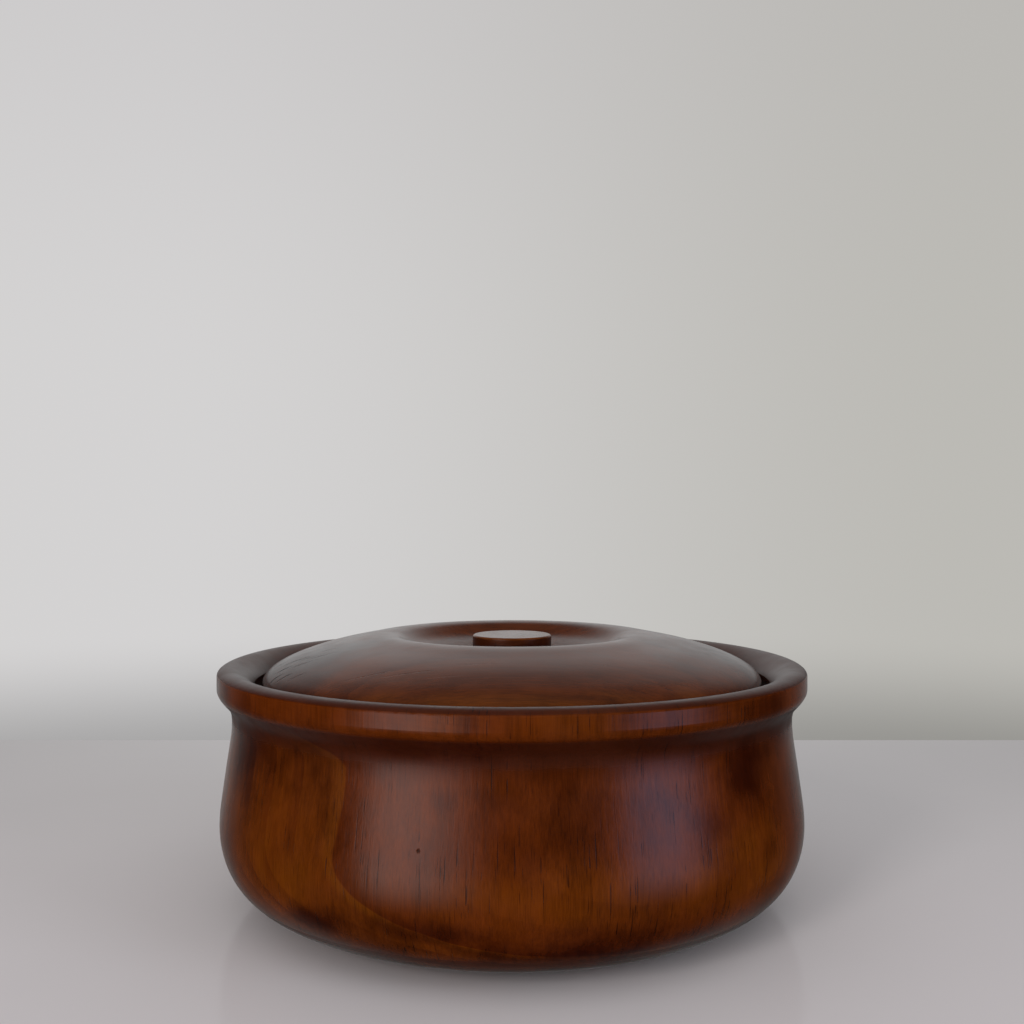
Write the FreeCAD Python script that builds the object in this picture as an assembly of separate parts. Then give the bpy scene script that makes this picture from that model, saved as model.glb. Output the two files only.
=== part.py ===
"""Round lidded bowl in turned wood: bowl, lid, knob and the screw that holds the knob.

The frame is +Z up, with the origin at the centre of the foot, on the table. All lengths are in
millimetres. Every piece is turned on one upright axis, so an outline is drawn in the XZ plane,
with X as the radius, and spun round Z.
"""

import FreeCAD, Part
import math
import os

# Bowl: outside
RIM_RADIUS = 120.0            # outside of the band round the rim
RIM_CREST_RADIUS = 115.3      # where the rim is highest
RIM_CREST_HEIGHT = 95.0
BAND_LOW = 87.6               # the band's straight side starts here
BAND_HIGH = 92.6              # and ends here
NECK_RADIUS = 114.1           # narrowest place, under the band
NECK_HEIGHT = 74.0
BELLY_RADIUS = 118.8          # widest place of the body
BELLY_HEIGHT = 34.0
FOOT_RADIUS = 81.0            # outer edge of the ring that the bowl stands on
FOOT_INNER_RADIUS = 66.0
FOOT_RECESS = 2.4             # how far the middle of the underside is cut back
FOOT_COVE = 4.0               # width of the slope up into that recess

# Bowl: inside
FLOOR_HEIGHT = 10.0           # inside floor above the table
FLOOR_RADIUS = 78.0           # the floor is flat out to here
HOLLOW_RADIUS = 109.6         # widest place of the hollow
HOLLOW_HEIGHT = 35.0
THROAT_RADIUS = 97.0          # narrowest place of the hollow, below the lid's seat
SEAT_HEIGHT = 82.0            # ledge that the lid rests on
SEAT_RADIUS = 105.6           # wall that stands round the lid
SEAT_WALL_TOP = 88.2          # the hollowed inner slope of the rim ends here
SEAT_CHAMFER = 0.8

# Lid
LID_RADIUS = 102.4
LID_EDGE_TOP = 88.9           # the edge is upright up to here
LID_CREST_RADIUS = 51.6       # ring where the dome turns down into the finger recess
LID_CREST_HEIGHT = 106.5
RECESS_FLOOR = 98.6           # finger recess, at the foot of the knob
LID_UNDERSIDE = 89.2          # underside in the middle of the lid
UNDERSIDE_RADIUS = 58.0       # the underside is flat out to here
SPIGOT_RADIUS = 95.4          # locating ring that hangs inside the bowl's throat
SPIGOT_INNER_RADIUS = 88.0
SPIGOT_LOW = 77.6
SPIGOT_CHAMFER = 1.2

# Knob
KNOB_RADIUS = 16.5
KNOB_TOP = 105.7
KNOB_EDGE = 0.9               # rounding of the knob's upper edge
TENON_RADIUS = 8.0            # spigot under the knob, in a socket in the lid
TENON_LENGTH = 4.0

# Screw, driven up into the knob from below: 4 mm thread, countersunk, cross recess
HEAD_RADIUS = 3.9
HEAD_RECESS = 0.4             # how far the head lies inside the lid's underside
SCREW_RADIUS = 2.0
CORE_RADIUS = 1.45
SCREW_LENGTH = 13.0
POINT_LENGTH = 2.6
THREAD_PITCH = 1.8
SCREW_HOLE_RADIUS = 2.3       # clear hole through the lid
CROSS_SPAN = 4.2
CROSS_WIDTH = 1.0
CROSS_DEPTH = 1.4

FULL_TURN = 360.0
ORIGIN = FreeCAD.Vector(0, 0, 0)
UP = FreeCAD.Vector(0, 0, 1)


def at(radius, height):
    """A point of an outline."""
    return FreeCAD.Vector(radius, 0, height)


def line(*points):
    """Straight edges through the points."""
    return [Part.LineSegment(a, b).toShape() for a, b in zip(points, points[1:])]


def curve(*points):
    """One smooth edge through the points."""
    spline = Part.BSplineCurve()
    spline.interpolate(Points=list(points))
    return [spline.toShape()]


def spun(edges):
    """The solid that a closed outline makes when it turns round the Z axis."""
    face = Part.Face(Part.Wire(edges))
    return face.revolve(ORIGIN, UP, FULL_TURN)


def bowl():
    """The body, turned from one block: foot ring, belly, neck, rim band and the lid's seat."""
    foot = line(
        at(0, FOOT_RECESS),
        at(FOOT_INNER_RADIUS - FOOT_COVE, FOOT_RECESS),
        at(FOOT_INNER_RADIUS, 0),
        at(FOOT_RADIUS, 0),
    )
    outside = curve(
        at(FOOT_RADIUS, 0),
        at(96.0, 3.5),
        at(112.0, 13.2),
        at(116.5, 21.0),
        at(BELLY_RADIUS, BELLY_HEIGHT),
        at(117.6, 46.6),
        at(115.6, 60.5),
        at(NECK_RADIUS, NECK_HEIGHT),
        at(115.2, 80.0),
        at(118.2, 83.6),
        at(119.7, 86.0),
        at(RIM_RADIUS, BAND_LOW),
    )
    band = line(at(RIM_RADIUS, BAND_LOW), at(RIM_RADIUS, BAND_HIGH))
    rim = curve(
        at(RIM_RADIUS, BAND_HIGH),
        at(119.6, 93.5),
        at(118.4, 94.4),
        at(RIM_CREST_RADIUS, RIM_CREST_HEIGHT),
        at(111.6, 94.0),
        at(107.6, 91.2),
        at(SEAT_RADIUS, SEAT_WALL_TOP),
    )
    seat = line(
        at(SEAT_RADIUS, SEAT_WALL_TOP),
        at(SEAT_RADIUS, SEAT_HEIGHT),
        at(THROAT_RADIUS + SEAT_CHAMFER, SEAT_HEIGHT),
        at(THROAT_RADIUS, SEAT_HEIGHT - SEAT_CHAMFER),
    )
    hollow = curve(
        at(THROAT_RADIUS, SEAT_HEIGHT - SEAT_CHAMFER),
        at(98.2, 75.0),
        at(103.8, 60.0),
        at(HOLLOW_RADIUS, HOLLOW_HEIGHT),
        at(104.0, 18.0),
        at(92.0, 11.2),
        at(FLOOR_RADIUS, FLOOR_HEIGHT),
    )
    floor = line(at(FLOOR_RADIUS, FLOOR_HEIGHT), at(0, FLOOR_HEIGHT), at(0, FOOT_RECESS))
    return spun(foot + outside + band + rim + seat + hollow + floor)


def lid():
    """The domed lid, with its locating ring below and the finger recess round the knob."""
    underside = line(at(0, LID_UNDERSIDE), at(UNDERSIDE_RADIUS, LID_UNDERSIDE))
    cove = curve(
        at(UNDERSIDE_RADIUS, LID_UNDERSIDE),
        at(68.0, 88.8),
        at(80.0, 85.9),
        at(SPIGOT_INNER_RADIUS, SPIGOT_LOW),
    )
    ring = line(
        at(SPIGOT_INNER_RADIUS, SPIGOT_LOW),
        at(SPIGOT_RADIUS - SPIGOT_CHAMFER, SPIGOT_LOW),
        at(SPIGOT_RADIUS, SPIGOT_LOW + SPIGOT_CHAMFER),
        at(SPIGOT_RADIUS, SEAT_HEIGHT),
        at(LID_RADIUS, SEAT_HEIGHT),
        at(LID_RADIUS, LID_EDGE_TOP),
    )
    dome = curve(
        at(LID_RADIUS, LID_EDGE_TOP),
        at(101.3, 91.3),
        at(97.0, 94.8),
        at(88.0, 98.8),
        at(76.0, 102.4),
        at(63.0, 105.1),
        at(LID_CREST_RADIUS, LID_CREST_HEIGHT),
        at(46.6, 105.4),
        at(42.0, 102.5),
        at(34.0, 100.0),
        at(KNOB_RADIUS, RECESS_FLOOR),
    )
    middle = line(at(KNOB_RADIUS, RECESS_FLOOR), at(0, RECESS_FLOOR), at(0, LID_UNDERSIDE))
    body = spun(underside + cove + ring + dome + middle)
    socket_floor = RECESS_FLOOR - TENON_LENGTH
    socket = Part.makeCylinder(TENON_RADIUS, TENON_LENGTH, at(0, socket_floor))
    screw_hole = Part.makeCylinder(SCREW_HOLE_RADIUS, socket_floor - LID_UNDERSIDE, at(0, LID_UNDERSIDE))
    head_seat = LID_UNDERSIDE + HEAD_RECESS
    counterbore = Part.makeCylinder(HEAD_RADIUS, HEAD_RECESS, at(0, LID_UNDERSIDE))
    countersink = Part.makeCone(HEAD_RADIUS, 0, HEAD_RADIUS, at(0, head_seat))
    return body.cut(socket.fuse([screw_hole, counterbore, countersink]))


def knob():
    """The low round knob, with the spigot that sits in the lid's socket and a pilot hole."""
    tenon_low = RECESS_FLOOR - TENON_LENGTH
    side_top = at(KNOB_RADIUS, KNOB_TOP - KNOB_EDGE)
    top_edge = at(KNOB_RADIUS - KNOB_EDGE, KNOB_TOP)
    diagonal = KNOB_EDGE * math.sqrt(0.5)
    halfway = at(KNOB_RADIUS - KNOB_EDGE + diagonal, KNOB_TOP - KNOB_EDGE + diagonal)
    outline = line(
        at(0, tenon_low),
        at(TENON_RADIUS, tenon_low),
        at(TENON_RADIUS, RECESS_FLOOR),
        at(KNOB_RADIUS, RECESS_FLOOR),
        side_top,
    )
    outline += [Part.Arc(side_top, halfway, top_edge).toShape()]
    outline += line(top_edge, at(0, KNOB_TOP), at(0, tenon_low))
    return spun(outline).cut(screw_envelope())


def screw_envelope():
    """The space that the screw's thread takes up: its outer cylinder and its point."""
    head_low = LID_UNDERSIDE + HEAD_RECESS
    shank = Part.makeCylinder(SCREW_RADIUS, SCREW_LENGTH - POINT_LENGTH, at(0, head_low))
    point = Part.makeCone(SCREW_RADIUS, 0, POINT_LENGTH, at(0, head_low + SCREW_LENGTH - POINT_LENGTH))
    return shank.fuse(point).removeSplitter()


def knob_screw():
    """The countersunk wood screw, with a ridge for each turn of its thread."""
    head_low = LID_UNDERSIDE + HEAD_RECESS
    shank_low = head_low + HEAD_RADIUS - CORE_RADIUS
    point_low = head_low + SCREW_LENGTH - POINT_LENGTH
    outline = line(at(0, head_low), at(HEAD_RADIUS, head_low), at(CORE_RADIUS, shank_low))
    turns = int((point_low - shank_low) / THREAD_PITCH)
    low = point_low - turns * THREAD_PITCH
    ridge_points = [at(CORE_RADIUS, shank_low)]
    for turn in range(turns):
        start = low + turn * THREAD_PITCH
        ridge_points += [
            at(CORE_RADIUS, start + 0.1 * THREAD_PITCH),
            at(SCREW_RADIUS, start + 0.5 * THREAD_PITCH),
            at(CORE_RADIUS, start + 0.9 * THREAD_PITCH),
        ]
    outline += line(*ridge_points, at(CORE_RADIUS, point_low), at(0, head_low + SCREW_LENGTH))
    outline += line(at(0, head_low + SCREW_LENGTH), at(0, head_low))
    screw = spun(outline)
    for span, width in ((CROSS_SPAN, CROSS_WIDTH), (CROSS_WIDTH, CROSS_SPAN)):
        slot = Part.makeBox(span, width, CROSS_DEPTH, FreeCAD.Vector(-span / 2, -width / 2, head_low))
        screw = screw.cut(slot)
    return screw


def main():
    os.makedirs("parts", exist_ok=True)
    for piece in (bowl, lid, knob, knob_screw):
        shape = piece()
        solid = shape.Solids[0]
        if not solid.isValid() or len(shape.Solids) != 1:
            raise RuntimeError(piece.__name__ + " is not one valid solid")
        solid.exportStep(os.path.join("parts", piece.__name__ + ".step"))
        print(piece.__name__, round(solid.Volume / 1000.0, 1), "cm3")


main()
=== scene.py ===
"""Turned wooden bowl with a drop-in lid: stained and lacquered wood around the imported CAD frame."""
import math

import bpy
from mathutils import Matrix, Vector


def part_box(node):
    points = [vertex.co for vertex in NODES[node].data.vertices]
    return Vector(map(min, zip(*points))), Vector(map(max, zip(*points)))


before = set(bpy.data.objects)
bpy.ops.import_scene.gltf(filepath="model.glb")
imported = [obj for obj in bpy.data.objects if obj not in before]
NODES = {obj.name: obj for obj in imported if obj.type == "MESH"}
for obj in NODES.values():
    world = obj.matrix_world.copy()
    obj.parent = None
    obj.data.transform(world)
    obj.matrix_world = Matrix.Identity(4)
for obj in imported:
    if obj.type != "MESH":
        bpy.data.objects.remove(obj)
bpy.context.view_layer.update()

MM_PER_M = 1000.0

# ---------------------------------------------------------------- sizes read from the frame, in mm
RIM_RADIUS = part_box("bowl")[1].x * MM_PER_M
RIM_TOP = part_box("bowl")[1].z * MM_PER_M
LID_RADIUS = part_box("lid")[1].x * MM_PER_M
KNOB_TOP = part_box("knob")[1].z * MM_PER_M


# ---------------------------------------------------------------- small node builder
class Tree:
    """Adds nodes to one material or world. Inputs take numbers, vectors or the outputs of other nodes."""

    def __init__(self, tree):
        self.tree = tree

    def new(self, kind, **settings):
        node = self.tree.nodes.new(kind)
        for name, value in settings.items():
            setattr(node, name, value)
        return node

    def put(self, socket, value):
        if isinstance(value, bpy.types.NodeSocket):
            self.tree.links.new(value, socket)
        elif value is not None:
            socket.default_value = value

    def math(self, operation, a, b=None, c=None):
        node = self.new("ShaderNodeMath", operation=operation)
        for socket, value in zip(node.inputs, (a, b, c)):
            self.put(socket, value)
        return node.outputs[0]

    def plus(self, a, b):
        return self.math("ADD", a, b)

    def minus(self, a, b):
        return self.math("SUBTRACT", a, b)

    def times(self, a, b):
        return self.math("MULTIPLY", a, b)

    def most(self, a, b):
        return self.math("MAXIMUM", a, b)

    def vec(self, operation, a, b=None, scale=None):
        node = self.new("ShaderNodeVectorMath", operation=operation)
        self.put(node.inputs[0], a)
        if b is not None:
            self.put(node.inputs[1], b)
        if scale is not None:
            self.put(node.inputs["Scale"], scale)
        return node.outputs["Value" if operation == "LENGTH" else "Vector"]

    def split(self, vector):
        node = self.new("ShaderNodeSeparateXYZ")
        self.put(node.inputs[0], vector)
        return node.outputs

    def join(self, x, y, z):
        node = self.new("ShaderNodeCombineXYZ")
        for socket, value in zip(node.inputs, (x, y, z)):
            self.put(socket, value)
        return node.outputs[0]

    def noise(self, vector, scale=1.0, detail=2.0, rough=0.5, distort=0.0, colour=False):
        node = self.new("ShaderNodeTexNoise")
        for name, value in (("Vector", vector), ("Scale", scale), ("Detail", detail),
                            ("Roughness", rough), ("Distortion", distort)):
            self.put(node.inputs[name], value)
        return node.outputs["Color" if colour else "Fac"]

    def cells(self, vector, scale=1.0):
        """Distance to the nearest cell point, and a random colour for each cell."""
        node = self.new("ShaderNodeTexVoronoi")
        self.put(node.inputs["Vector"], vector)
        self.put(node.inputs["Scale"], scale)
        return node.outputs["Distance"], node.outputs["Color"]

    def span(self, value, low, high, to_low=0.0, to_high=1.0):
        """Value from low..high to to_low..to_high, with soft ends. low may be the larger number."""
        node = self.new("ShaderNodeMapRange", clamp=True, interpolation_type="SMOOTHSTEP")
        for socket, number in zip(node.inputs, (value, low, high, to_low, to_high)):
            self.put(socket, number)
        return node.outputs[0]

    def mix(self, share, a, b):
        """Colour a where share is 0, colour b where share is 1."""
        node = self.new("ShaderNodeMix", data_type="RGBA")
        self.put(node.inputs[0], share)
        self.put(node.inputs[6], rgba(a))
        self.put(node.inputs[7], rgba(b))
        return node.outputs[2]


def rgba(colour):
    """A plain colour with its alpha. Anything else, such as a node's output, stays as it is."""
    return (*colour, 1.0) if isinstance(colour, tuple) and len(colour) == 3 else colour


# ---------------------------------------------------------------- wood
def blobs(t, spot, places, ragged, reach=1.35):
    """Soft-edged clouds. places: (centre mm, radius mm, strength).

    ragged: added to the distance from a cloud's centre, so that its edge isn't an ellipse
    reach: where the clouds end, in radii
    """
    total = 0.0
    for centre, radius, strength in places:
        away = t.vec("LENGTH", t.vec("DIVIDE", t.vec("SUBTRACT", spot, centre), radius))
        cloud = t.span(t.plus(away, ragged), reach, 0.0, 0.0, strength)
        total = t.most(total, cloud)
    return total


def from_axis(t, p):
    """Distance from the upright axis."""
    x, y = t.split(p)[:2]
    return t.vec("LENGTH", t.join(x, y, 0.0))


def drawn_out(t, place, share):
    """Coordinates that change slowly along the fibres, for patterns that are long that way."""
    return t.vec("MULTIPLY", place, (1.0, 1.0, share))


def swing(t, noise, reach):
    """Noise from -reach to reach."""
    return t.span(noise, 0.3, 0.7, -reach, reach)


def tinted(t, colour, share, tint):
    """The colour, multiplied by the tint as far as share says."""
    return t.mix(share, colour, t.vec("MULTIPLY", colour, tint))


RING_TINT = (0.5, 0.38, 0.5)            # the line at the end of each growth ring
OUTER_TINT = (0.6, 0.45, 0.6)           # just outside the main growth line
INNER_TINT = (1.45, 1.75, 1.2)          # just inside it
RUBBED_TINT = (1.5, 1.85, 1.2)          # stain rubbed thin
STAIN_AND_SHADE_TINT = (0.27, 0.15, 0.42)         # stain soaked in, and painted shade
PORE_TINT = (0.12, 0.07, 0.2)           # stain in the open pores


def ring_colour(t, out, moved, period, light, deep):
    """Colour across the growth rings. out: distance outward from the main growth line, in mm."""
    colour = t.mix(t.span(out, -1.5, 1.0), light, deep)

    # each ring is a soft swell that ends in a darker line, clearer in some places than in others
    turn = t.math("FRACT", t.times(t.plus(out, 0.8), 1 / period))
    line = t.times(t.span(turn, 0.35, 0.95), t.span(turn, 1.0, 0.96))
    veil = t.span(t.noise(moved, 0.022, 2.0), 0.42, 0.62, 0.1, 0.5)
    veil = t.times(veil, t.span(out, 0.0, 8.0, 1.0, 0.3))
    colour = tinted(t, colour, t.times(line, veil), RING_TINT)

    outer = t.times(t.span(out, -0.3, 0.4), t.span(out, 9.0, 0.5))
    colour = tinted(t, colour, t.times(outer, 0.3), OUTER_TINT)
    inner = t.times(t.span(out, -6.0, -1.6), t.span(out, 0.3, -0.6))
    return tinted(t, colour, t.times(inner, 0.6), INNER_TINT)


def pore_strokes(t, flat, moved):
    """Open pores: thin strokes along the fibres, in two sizes, broken up and thinned out here and there."""
    near, dice = t.cells(drawn_out(t, flat, 0.02), 1.35)
    big = t.times(t.span(near, 0.32, 0.14), t.span(t.split(dice)[0], 0.15, 0.5))
    near, dice = t.cells(drawn_out(t, flat, 0.06), 1.8)
    little = t.times(t.span(near, 0.36, 0.12), t.span(t.split(dice)[0], 0.2, 0.9, 0.0, 0.75))
    chain = t.span(t.noise(drawn_out(t, flat, 0.2), 0.9, 1.0), 0.4, 0.52)
    patch = t.span(t.noise(moved, 0.035, 2.0), 0.4, 0.58, 0.3, 1.0)
    return t.times(t.times(t.most(big, little), chain), patch)


def add_bump(t, shader, height, distance):
    """Relief of the surface. distance: metres for a height of 1."""
    bump = t.new("ShaderNodeBump")
    t.put(bump.inputs["Distance"], distance)
    t.put(bump.inputs["Height"], height)
    t.put(shader.inputs["Normal"], bump.outputs[0])


def wood(name, fibre, skin, ring, period, stains_and_shade, glows, marks, light, deep, shift, stain_and_shade,
         polish=0.21, open_pores=1.0):
    """Stained, lacquered hardwood.

    fibre: turns object millimetres into wood coordinates whose Z runs along the fibres
    skin: turns object millimetres into coordinates that change little across the surface's depth, so that
        pores stay long where the surface cuts the fibres at a slant; Z runs along the fibres
    ring: gives the distance of a point outward from the main growth line, in mm, in wood coordinates
    period: distance between growth rings, in mm
    stains_and_shade, glows: (centre mm, radius mm, strength) of clouds of soaked-in stain and of painted
    shade, and of clouds where the stain was rubbed thin
    marks: (centre mm, radius mm, depth) of pin knots and checks in the surface
    light, deep: the colours of the wood on the two sides of the main growth line
    shift: where in the noise this piece's grain is cut from, in mm
    stain_and_shade: gives the share of extra stain in the places that are hard to rub down, and of painted
    shade under the bowl's lip and round the knob's side
    polish: roughness of the lacquer where it is well rubbed
    open_pores: how much of the pores, and of the grain's relief, the lacquer leaves open
    """
    material = bpy.data.materials.new(name)
    material.use_nodes = True
    t = Tree(material.node_tree)
    shader = material.node_tree.nodes["Principled BSDF"]
    spot = t.vec("SCALE", t.new("ShaderNodeTexCoord").outputs["Object"], scale=MM_PER_M)
    along = fibre(t, spot)
    moved = t.vec("ADD", along, shift)

    # growth rings, slowly bent
    bend = t.vec("SUBTRACT", t.noise(moved, 0.03, 2.0, 0.5, colour=True), (0.5, 0.5, 0.5))
    bent = t.vec("ADD", along, t.vec("SCALE", bend, scale=5.0))
    colour = ring_colour(t, ring(t, bent), moved, period, light, deep)

    # fibre streaks, coarse and fine, and slower changes of tone
    streak = t.noise(drawn_out(t, moved, 0.03), 0.55, 3.0, 0.6)
    fine = t.noise(drawn_out(t, moved, 0.04), 2.6, 2.0, 0.6)
    small = t.noise(moved, 0.09, 2.0, 0.5)
    broad = t.noise(moved, 0.025, 2.0, 0.5)
    tone = t.plus(swing(t, streak, 0.12), swing(t, fine, 0.13))
    tone = t.plus(tone, swing(t, small, 0.10))
    tone = t.plus(tone, swing(t, broad, 0.14))
    colour = t.vec("SCALE", colour, scale=t.plus(1.0, tone))

    # clouds of stain, of painted shade and of rubbed places, with ragged edges drawn out along the fibres
    ragged = t.plus(swing(t, broad, 0.3), swing(t, streak, 0.06))
    ragged = t.plus(ragged, t.span(small, 0.25, 0.75, -0.12, 0.12))
    colour = tinted(t, colour, blobs(t, spot, glows, ragged), RUBBED_TINT)
    soak_and_shade = t.span(t.noise(moved, 0.03, 3.0, 0.55, 0.4), 0.5, 0.85, 0.0, 0.6)
    soak_and_shade = t.most(soak_and_shade, blobs(t, spot, stains_and_shade, ragged))
    # extra stain where it is hard to rub down, with painted shade under the bowl's lip and round the knob's
    # side
    left = stain_and_shade(t, spot)
    hard = t.times(left, t.span(streak, 0.3, 0.7, 0.82, 1.05))
    hard = t.times(hard, t.span(broad, 0.35, 0.65, 0.82, 1.08))
    colour = tinted(t, colour, t.most(soak_and_shade, hard), STAIN_AND_SHADE_TINT)

    # open pores, pin knots and checks
    pores = t.times(pore_strokes(t, t.vec("ADD", skin(t, spot), shift), moved), open_pores)
    pits = blobs(t, spot, marks, swing(t, fine, 0.15), 1.2)
    colour = tinted(t, colour, t.times(t.most(pores, pits), 0.9), PORE_TINT)
    t.put(shader.inputs["Base Color"], colour)

    # the lacquer: duller over open grain and where it is hard to rub down, and sunk into the pores
    rough = t.span(small, 0.3, 0.7, polish - 0.03, polish + 0.03)
    rough = t.plus(rough, t.most(t.times(pores, 0.08), t.times(pits, 0.35)))
    matt = t.times(t.times(left, 0.18), t.span(left, 0.45, 0.7))
    t.put(shader.inputs["Roughness"], t.plus(rough, matt))
    shader.inputs["IOR"].default_value = 1.48
    height = t.plus(t.times(pores, -0.12), t.times(pits, -1.6))
    height = t.plus(height, t.span(fine, 0.2, 0.8, 0.0, 0.08 * open_pores))
    height = t.plus(height, t.span(streak, 0.2, 0.8, 0.0, 0.16 * open_pores))
    add_bump(t, shader, height, 0.0001)
    return material


def on_side(azimuth, height, radius):
    """A point on the bowl's side, in mm. Azimuth 0 faces the front, and it grows to the right."""
    a = math.radians(azimuth)
    return (radius * math.sin(a), -radius * math.cos(a), height)


def bowl_ring(t, p):
    """Growth layers face the front right. They flare outward at the foot and fall away under the rim."""
    facing = math.radians(25)
    main_line = 68.0            # distance of the main growth line from the axis
    flare_top, flare_rate = 45.0, 0.045
    fall_foot, fall_rate = 72.0, 0.21
    x, y, z = t.split(p)
    front = t.minus(t.times(x, math.sin(facing)), t.times(y, math.cos(facing)))
    low = t.most(t.minus(flare_top, z), 0.0)
    high = t.most(t.minus(z, fall_foot), 0.0)
    flare = t.times(t.times(low, low), flare_rate)
    fall = t.times(t.times(high, high), fall_rate)
    return t.plus(t.minus(t.minus(front, main_line), flare), fall)


def lid_ring(t, p):
    """Growth layers curved about a line below the lid. In its wood, X is up and Z runs to the right."""
    below, behind, main_line = 60.0, 25.0, 260.0
    along_share = 0.25          # the layers curve a little along the fibres too
    x, y, z = t.split(p)
    centred = t.join(t.plus(x, below), t.plus(y, -behind), t.times(z, along_share))
    return t.minus(t.vec("LENGTH", centred), main_line)


def fibres_up(t, p):
    """The bowl's fibres run up: wood Z is object Z."""
    return p


def fibres_across(t, p):
    """The lid's fibres run left to right: wood Z is object X."""
    x, y, z = t.split(p)
    return t.join(z, y, x)


def round_the_side(t, p):
    """Length round the bowl's side, a little of the radius, and the height."""
    side_radius, radius_share = 116.0, 0.12
    x, y, z = t.split(p)
    angle = t.math("ARCTAN2", x, t.times(y, -1.0))
    return t.join(t.times(angle, side_radius), t.times(from_axis(t, p), radius_share), z)


def over_the_top(t, p):
    """The lid seen from above, with a little of its height."""
    height_share = 0.1
    x, y, z = t.split(p)
    return t.join(t.times(z, height_share), y, x)


def bowl_stain_and_shade(t, p):
    """Stain stays in the bowl; the rim's top and inner slope are darker; painted shade darkens the wood
    under the rim's lip.

    Each place is given by how far it lies inward from the rim and down from its top, in mm.
    """
    inward = t.minus(RIM_RADIUS, from_axis(t, p))
    down = t.minus(RIM_TOP, t.split(p)[2])
    top = t.times(t.span(inward, 0.02, 0.4), t.span(down, 2.5, 1.9))
    slope = t.times(t.span(inward, 5.0, 7.0), t.span(down, 13.0, 11.0))
    hollow = t.times(t.span(inward, 7.5, 8.5), t.span(down, 86.0, 84.0))
    # painted shade: darker under the lip of the rim's band, fading down the neck
    lip = t.times(t.span(down, 9.2, 11.4), t.span(down, 29.0, 15.0, 0.0, 1.15))
    return t.times(t.most(t.most(t.most(top, slope), hollow), lip), 0.72)


def lid_unrubbed(t, p):
    """Stain stays on the lid's upright edge and on its underside: below a shallow cone."""
    cone_slope = 0.02
    clean_above, stained_below = 90.05, 88.05       # at the lid's edge, in mm above the table
    inward = t.minus(LID_RADIUS, from_axis(t, p))
    height = t.plus(t.split(p)[2], t.times(inward, cone_slope))
    return t.span(height, clean_above, stained_below, 0.0, 0.6)


def knob_painted_shade(t, p):
    """Painted shade round the knob's side, most of all at its foot in the lid's recess. down: mm below the
    knob's top.
    """
    down = t.minus(KNOB_TOP, t.split(p)[2])
    # painted shade on the side below the lit top, deeper at the foot
    return t.plus(t.span(down, 0.4, 1.0, 0.0, 0.8), t.span(down, 1.7, 4.2, 0.0, 0.3))


# Clouds and marks: centre in mm, radius in mm along X, Y and Z, and strength.
BOWL_STAINS_AND_SHADE = (
    (on_side(44, 67, 115), (26, 26, 19), 0.85),
    (on_side(36, 52, 117), (16, 16, 16), 0.5),
    (on_side(11, 57, 117), (15, 15, 18), 0.4),
    (on_side(23, 60, 116), (12, 12, 14), 0.35),
    (on_side(-11, 65, 115), (10, 10, 7), 0.6),
    (on_side(-12, 23, 116), (26, 14, 5), 0.75),
    (on_side(8, 15, 113), (54, 20, 10), 0.98),
    (on_side(-35, 21, 116), (20, 16, 6), 0.9),
    (on_side(30, 16, 113), (26, 26, 6), 0.5),
    (on_side(50, 38, 118), (9, 9, 8), 0.4),
    (on_side(-62, 34, 118), (18, 18, 24), 0.3),
    (on_side(-55, 73, 114), (42, 42, 29), 0.85),
    (on_side(-6.5, 90, 119), (4, 4, 8), 0.6),
    (on_side(50, 90, 119), (16, 16, 8), 0.65),
    # painted reflection: the band darkened at its left end, in place of the dark reflection it shows there
    (on_side(-78, 90, 119), (30, 30, 8), 0.75),
    (on_side(23, 91, 119), (15, 15, 5), 0.35),
    # painted shade: the whole bowl darker towards the bottom, where it meets the table
    ((0, 0, 8), (400, 400, 12), 0.75),
)
BOWL_GLOWS = (
    (on_side(-47, 40, 118), (6, 6, 16), 0.6),
    (on_side(-40, 33, 118), (14, 14, 10), 0.5),
    (on_side(10, 36, 118), (60, 40, 11), 0.65),
    (on_side(32, 35, 118), (24, 24, 10), 0.8),
    (on_side(48, 32, 118), (32, 32, 14), 0.8),
    (on_side(42, 42, 118), (28, 28, 11), 0.8),
    (on_side(-12, 91, 119), (18, 12, 6), 0.3),
    (on_side(8, 91, 119), (22, 12, 6), 0.35),
)
BOWL_MARKS = (
    (on_side(-14.7, 49, 117), (0.7, 0.7, 0.8), 1.0),
    (on_side(-14.9, 33, 118), (0.5, 0.5, 0.6), 0.6),
)
LID_STAINS = (
    ((-80, -30, 95), (38, 44, 12), 0.8),
    ((80, -10, 97), (26, 60, 14), 0.5),
    ((14, -94, 93), (24, 3, 3), 0.6),
)
LID_GLOWS = (
    ((38, -92, 93), (16, 6, 4), 0.8),
    ((64, -78, 93), (12, 6, 5), 0.6),
    ((-44, -88, 93), (12, 6, 4), 0.5),
    ((0, -99, 92), (60, 9, 5), 0.9),
)
LID_MARKS = (
    ((-84, -28, 97), (7.0, 0.5, 5), 1.0),
    ((-72, -25, 99), (5.0, 0.45, 5), 1.0),
    ((-75, -34, 98), (5.0, 0.5, 5), 1.0),
    ((-90, -41, 92), (4.0, 0.6, 5), 1.0),
    ((-78, -31, 97), (6.0, 0.5, 5), 1.0),
    ((-88, -35, 94), (4.5, 0.6, 5), 1.0),
    ((-80, -38, 96), (7.0, 0.45, 5), 0.9),
    ((-92, -22, 94), (4.0, 0.5, 5), 0.9),
    ((-70, -34, 98), (5.0, 0.4, 5), 0.8),
    ((-86, -46, 93), (4.0, 0.6, 5), 1.0),
    ((-79, -52, 93), (5.0, 0.5, 5), 0.8),
    ((-34, -76, 97), (13.0, 0.35, 5), 0.7),
    ((-50, -72, 97), (9.0, 0.35, 5), 0.6),
    ((-22, -82, 96), (11.0, 0.3, 5), 0.6),
    ((-12, -73, 99), (9.0, 0.3, 5), 0.5),
)

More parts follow.
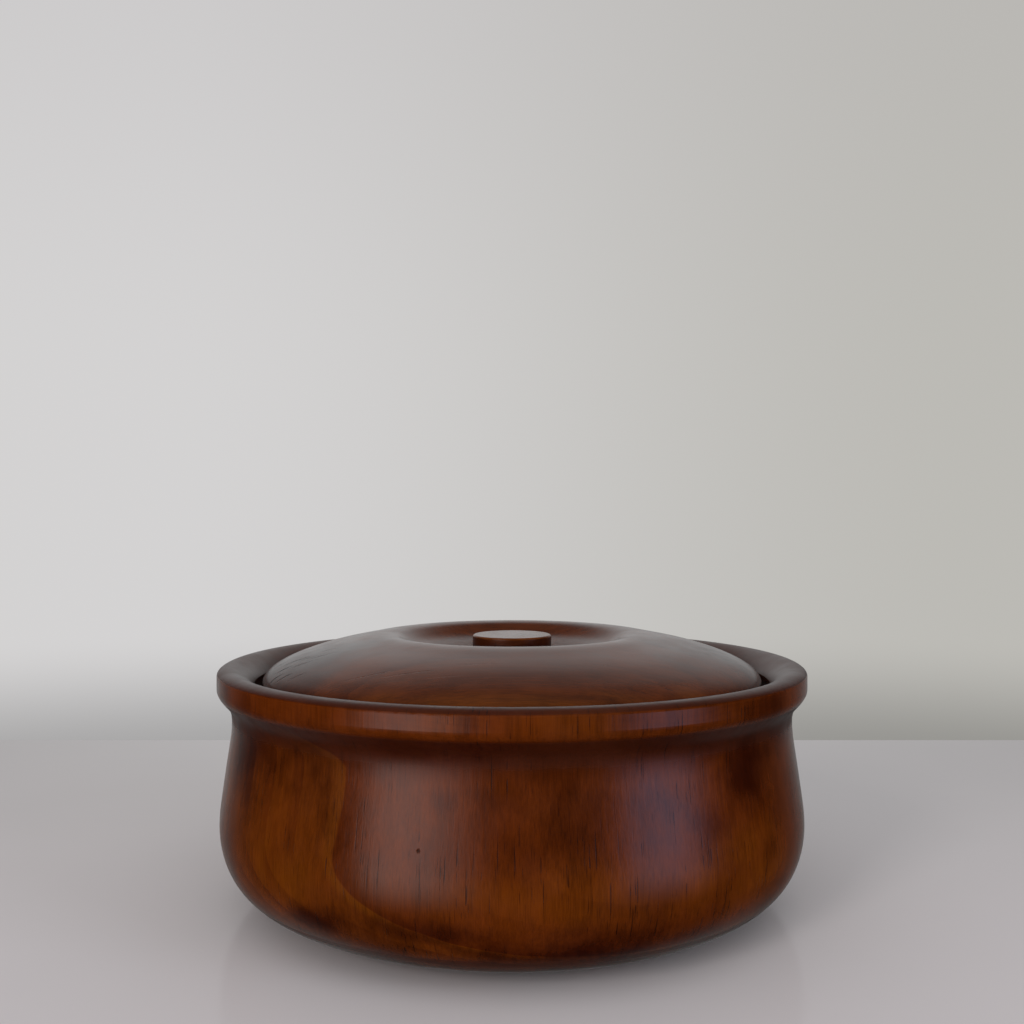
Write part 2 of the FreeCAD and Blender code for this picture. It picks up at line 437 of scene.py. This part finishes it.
bowl_wood = wood("bowl_wood", fibres_up, round_the_side, bowl_ring, 14.5,
                 BOWL_STAINS_AND_SHADE, BOWL_GLOWS, BOWL_MARKS,
                 light=(0.121, 0.0248, 0.0005), deep=(0.112, 0.0200, 0.0004),
                 shift=(31.0, 7.0, 53.0), stain_and_shade=bowl_stain_and_shade)
lid_wood = wood("lid_wood", fibres_across, over_the_top, lid_ring, 6.5,
                LID_STAINS, LID_GLOWS, LID_MARKS,
                light=(0.092, 0.0180, 0.0014), deep=(0.080, 0.0140, 0.0012),
                shift=(211.0, 87.0, 13.0), stain_and_shade=lid_unrubbed, open_pores=0.55)
knob_wood = wood("knob_wood", fibres_across, over_the_top, lid_ring, 6.5,
                 stains_and_shade=(), glows=(), marks=(),
                 light=(0.140, 0.0340, 0.0040), deep=(0.080, 0.0130, 0.0012),
                 shift=(411.0, 187.0, 93.0), stain_and_shade=knob_painted_shade, polish=0.20)


# ---------------------------------------------------------------- screw
def brass(name):
    """Tarnished brass with fine turning marks."""
    material = bpy.data.materials.new(name)
    material.use_nodes = True
    t = Tree(material.node_tree)
    shader = material.node_tree.nodes["Principled BSDF"]
    spot = t.vec("SCALE", t.new("ShaderNodeTexCoord").outputs["Object"], scale=MM_PER_M)
    tarnish = t.noise(spot, 0.8, 4.0, 0.6)
    colour = t.mix(t.span(tarnish, 0.35, 0.7), (0.62, 0.42, 0.15), (0.32, 0.19, 0.07))
    t.put(shader.inputs["Base Color"], colour)
    t.put(shader.inputs["Roughness"], t.span(tarnish, 0.3, 0.7, 0.25, 0.5))
    shader.inputs["Metallic"].default_value = 1.0
    add_bump(t, shader, t.noise(t.vec("MULTIPLY", spot, (1.0, 9.0, 1.0)), 1.2, 2.0), 0.00002)
    return material


for node, material in (("bowl", bowl_wood), ("lid", lid_wood), ("knob", knob_wood),
                       ("knob_screw", brass("screw_brass"))):
    for slot in NODES[node].material_slots:
        slot.material = material


# ---------------------------------------------------------------- table top, light and camera
TABLE_BACK = 0.301          # the table top's back edge, in metres behind the bowl's axis
TABLE_FRONT = -4.5
TABLE_HALF = 4.5            # half its width

# Name; azimuth in degrees; distance, low edge, high edge and width in metres; watts; colour.
WINDOWS = (
    ("window_left", -37, 8.0, 0.0, 5.0, 1.9, 213.0, (1.0, 0.94, 0.90)),
    ("window_right", 62, 8.0, 0.0, 4.5, 3.2, 100.0, (0.86, 0.92, 1.0)),
)
AIM = Vector((0, 0, 0.05))  # inside the bowl: both windows face it

# Reflections of the two windows: azimuth in degrees, height as the Z of the reflected direction, and colour.
# Azimuth and height each give where the brightness rises from, rises to, falls from and falls to.
REFLECTIONS = (
    ((-60, -47, -38, -6), (-0.55, -0.02, 0.35, 0.65), (1.8, 1.52, 1.5)),
    ((34, 52, 61, 81), (-0.50, 0.20, 0.04, 0.22), (1.0, 1.25, 1.95)),
)

SENSOR_WIDTH = 36.0         # mm
LENS = 38.671875            # mm
CAMERA_PLACE = (0.0, -0.4627, 0.1552)
CAMERA_PITCH = 0.004        # upward, in radians


def table_top():
    """A pale, faintly glossy top that isn't reflected in the lacquer."""
    mesh = bpy.data.meshes.new("table_top")
    corners = [(-TABLE_HALF, TABLE_FRONT, 0), (TABLE_HALF, TABLE_FRONT, 0),
               (TABLE_HALF, TABLE_BACK, 0), (-TABLE_HALF, TABLE_BACK, 0)]
    mesh.from_pydata(corners, [], [(0, 1, 2, 3)])
    table = bpy.data.objects.new("table_top", mesh)
    bpy.context.scene.collection.objects.link(table)
    table.visible_glossy = False
    mesh.materials.append(table_paint())


def table_paint():
    """Painted shade: darker towards the back. Without reflections far from the bowl."""
    material = bpy.data.materials.new("table_top")
    material.use_nodes = True
    t = Tree(material.node_tree)
    shader = material.node_tree.nodes["Principled BSDF"]
    spot = t.new("ShaderNodeTexCoord").outputs["Object"]
    mottle = t.noise(spot, 9.0, 3.0)
    colour = t.mix(mottle, (0.80, 0.765, 0.785), (0.84, 0.80, 0.82))
    # painted shade: the top darker towards the back, where less light falls
    colour = tinted(t, colour, t.span(t.split(spot)[1], -0.12, 0.28), (0.82, 0.83, 0.82))
    t.put(shader.inputs["Base Color"], colour)
    t.put(shader.inputs["Roughness"], t.span(t.noise(spot, 25.0, 2.0), 0.3, 0.7, 0.09, 0.14))
    shader.inputs["IOR"].default_value = 1.16
    away = t.vec("LENGTH", spot)
    t.put(shader.inputs["Specular IOR Level"], t.span(away, 1.1, 0.6, 0.0, 0.5))
    return material


def window(name, azimuth, distance, low, high, width, strength, colour):
    """A tall soft light, standing at that azimuth from the bowl and facing it."""
    light = bpy.data.lights.new(name, "AREA")
    light.shape = "RECTANGLE"
    light.size = width
    light.size_y = high - low
    light.color = colour
    light.energy = strength
    lamp = bpy.data.objects.new(name, light)
    a = math.radians(azimuth)
    lamp.location = (distance * math.sin(a), -distance * math.cos(a), (low + high) / 2)
    lamp.rotation_euler = (AIM - lamp.location).to_track_quat("-Z", "Y").to_euler()
    lamp.visible_glossy = False         # the reflections of both windows are in the surroundings
    lamp.visible_camera = False
    bpy.context.scene.collection.objects.link(lamp)


def wall_seen(t, x, z):
    """The wall behind the bowl, with painted shade: darker to the right, high up, and low down behind the
    table.
    """
    wall = t.mix(t.span(x, -0.32, 0.42), (0.655, 0.645, 0.645), (0.50, 0.49, 0.46))
    wall = t.mix(t.times(t.span(z, 0.12, 0.5), 0.25), wall, (0.45, 0.43, 0.44))
    shade = t.times(t.span(z, -0.10, -0.205), t.span(t.math("ABSOLUTE", x), 0.95, 0.42))
    return t.mix(shade, wall, t.vec("SCALE", wall, scale=0.58))


def room_reflected(t, x, y, z):
    """What the lacquer reflects: the wall, the ceiling, the lit table at both sides, and two windows."""
    aside = t.math("ABSOLUTE", x)
    behind = t.times(t.span(y, -0.1, 0.3), t.span(aside, 0.1, 0.95, 1.0, 0.0))
    level = t.times(t.span(z, -0.7, 0.2, 0.1, 1.0), t.span(z, 0.38, 0.88, 1.0, 0.08))
    paler_left = t.math("MULTIPLY_ADD", x, -0.25, 1.0)
    wall = t.times(t.times(behind, level), t.times(paler_left, 0.6))
    ceiling = t.span(z, 0.4, 1.0, 0.005, 0.07)
    beside = t.times(t.span(y, 0.05, 0.6), t.span(aside, 0.12, 0.35))
    below = t.times(t.span(z, -0.45, -0.75), t.span(z, -0.93, -0.86))
    table = t.times(t.times(beside, below), 0.15)
    grey = t.plus(t.plus(wall, ceiling), table)
    glow = t.join(grey, grey, grey)
    azimuth = t.math("ARCTAN2", x, t.times(y, -1.0))
    for edges, heights, colour in REFLECTIONS:
        left, left_full, right_full, right = (math.radians(degrees) for degrees in edges)
        across = t.times(t.span(azimuth, left, left_full), t.span(azimuth, right, right_full))
        foot, foot_full, top_full, top = heights
        upward = t.times(t.span(z, foot, foot_full), t.span(z, top, top_full))
        glow = t.vec("ADD", glow, t.vec("SCALE", colour, scale=t.times(across, upward)))
    return glow


def room_light(t, y, z):
    """The soft light of the room: brighter from the front than from behind, and evener overhead."""
    level = t.mix(t.span(y, -0.5, 0.5), (0.66, 0.655, 0.655), (0.29, 0.285, 0.28))
    return t.mix(t.span(z, 0.3, 1.0, 0.0, 0.5), level, (0.54, 0.53, 0.53))


def choose(t, test, otherwise, chosen):
    """One shader where the light path's test is true, and another elsewhere."""
    node = t.new("ShaderNodeMixShader")
    for socket, value in zip(node.inputs, (test, otherwise, chosen)):
        t.put(socket, value)
    return node.outputs[0]


def surroundings():
    """Camera rays see the wall, glossy rays the reflected room, and all others the room's soft light."""
    world = bpy.data.worlds.new("studio")
    world.cycles.sampling_method = "NONE"
    bpy.context.scene.world = world
    world.use_nodes = True
    tree = world.node_tree
    t = Tree(tree)
    x, y, z = t.split(t.new("ShaderNodeTexCoord").outputs["Generated"])
    seen = tree.nodes["Background"]
    mirrored = t.new("ShaderNodeBackground")
    room = t.new("ShaderNodeBackground")
    t.put(seen.inputs["Color"], wall_seen(t, x, z))
    t.put(mirrored.inputs["Color"], room_reflected(t, x, y, z))
    t.put(room.inputs["Color"], room_light(t, y, z))

    path = t.new("ShaderNodeLightPath").outputs
    lit = choose(t, path["Is Glossy Ray"], room.outputs[0], mirrored.outputs[0])
    both = choose(t, path["Is Camera Ray"], lit, seen.outputs[0])
    t.put(tree.nodes["World Output"].inputs["Surface"], both)


table_top()
surroundings()
for values in WINDOWS:
    window(*values)

camera = bpy.data.objects.new("camera", bpy.data.cameras.new("camera"))
bpy.context.scene.collection.objects.link(camera)
camera.data.sensor_width = SENSOR_WIDTH
camera.data.lens = LENS
camera.location = CAMERA_PLACE
camera.rotation_euler = (math.pi / 2 + CAMERA_PITCH, 0.0, 0.0)
camera.data.clip_start = 0.01
bpy.context.scene.camera = camera
bpy.context.scene.view_settings.view_transform = "Standard"
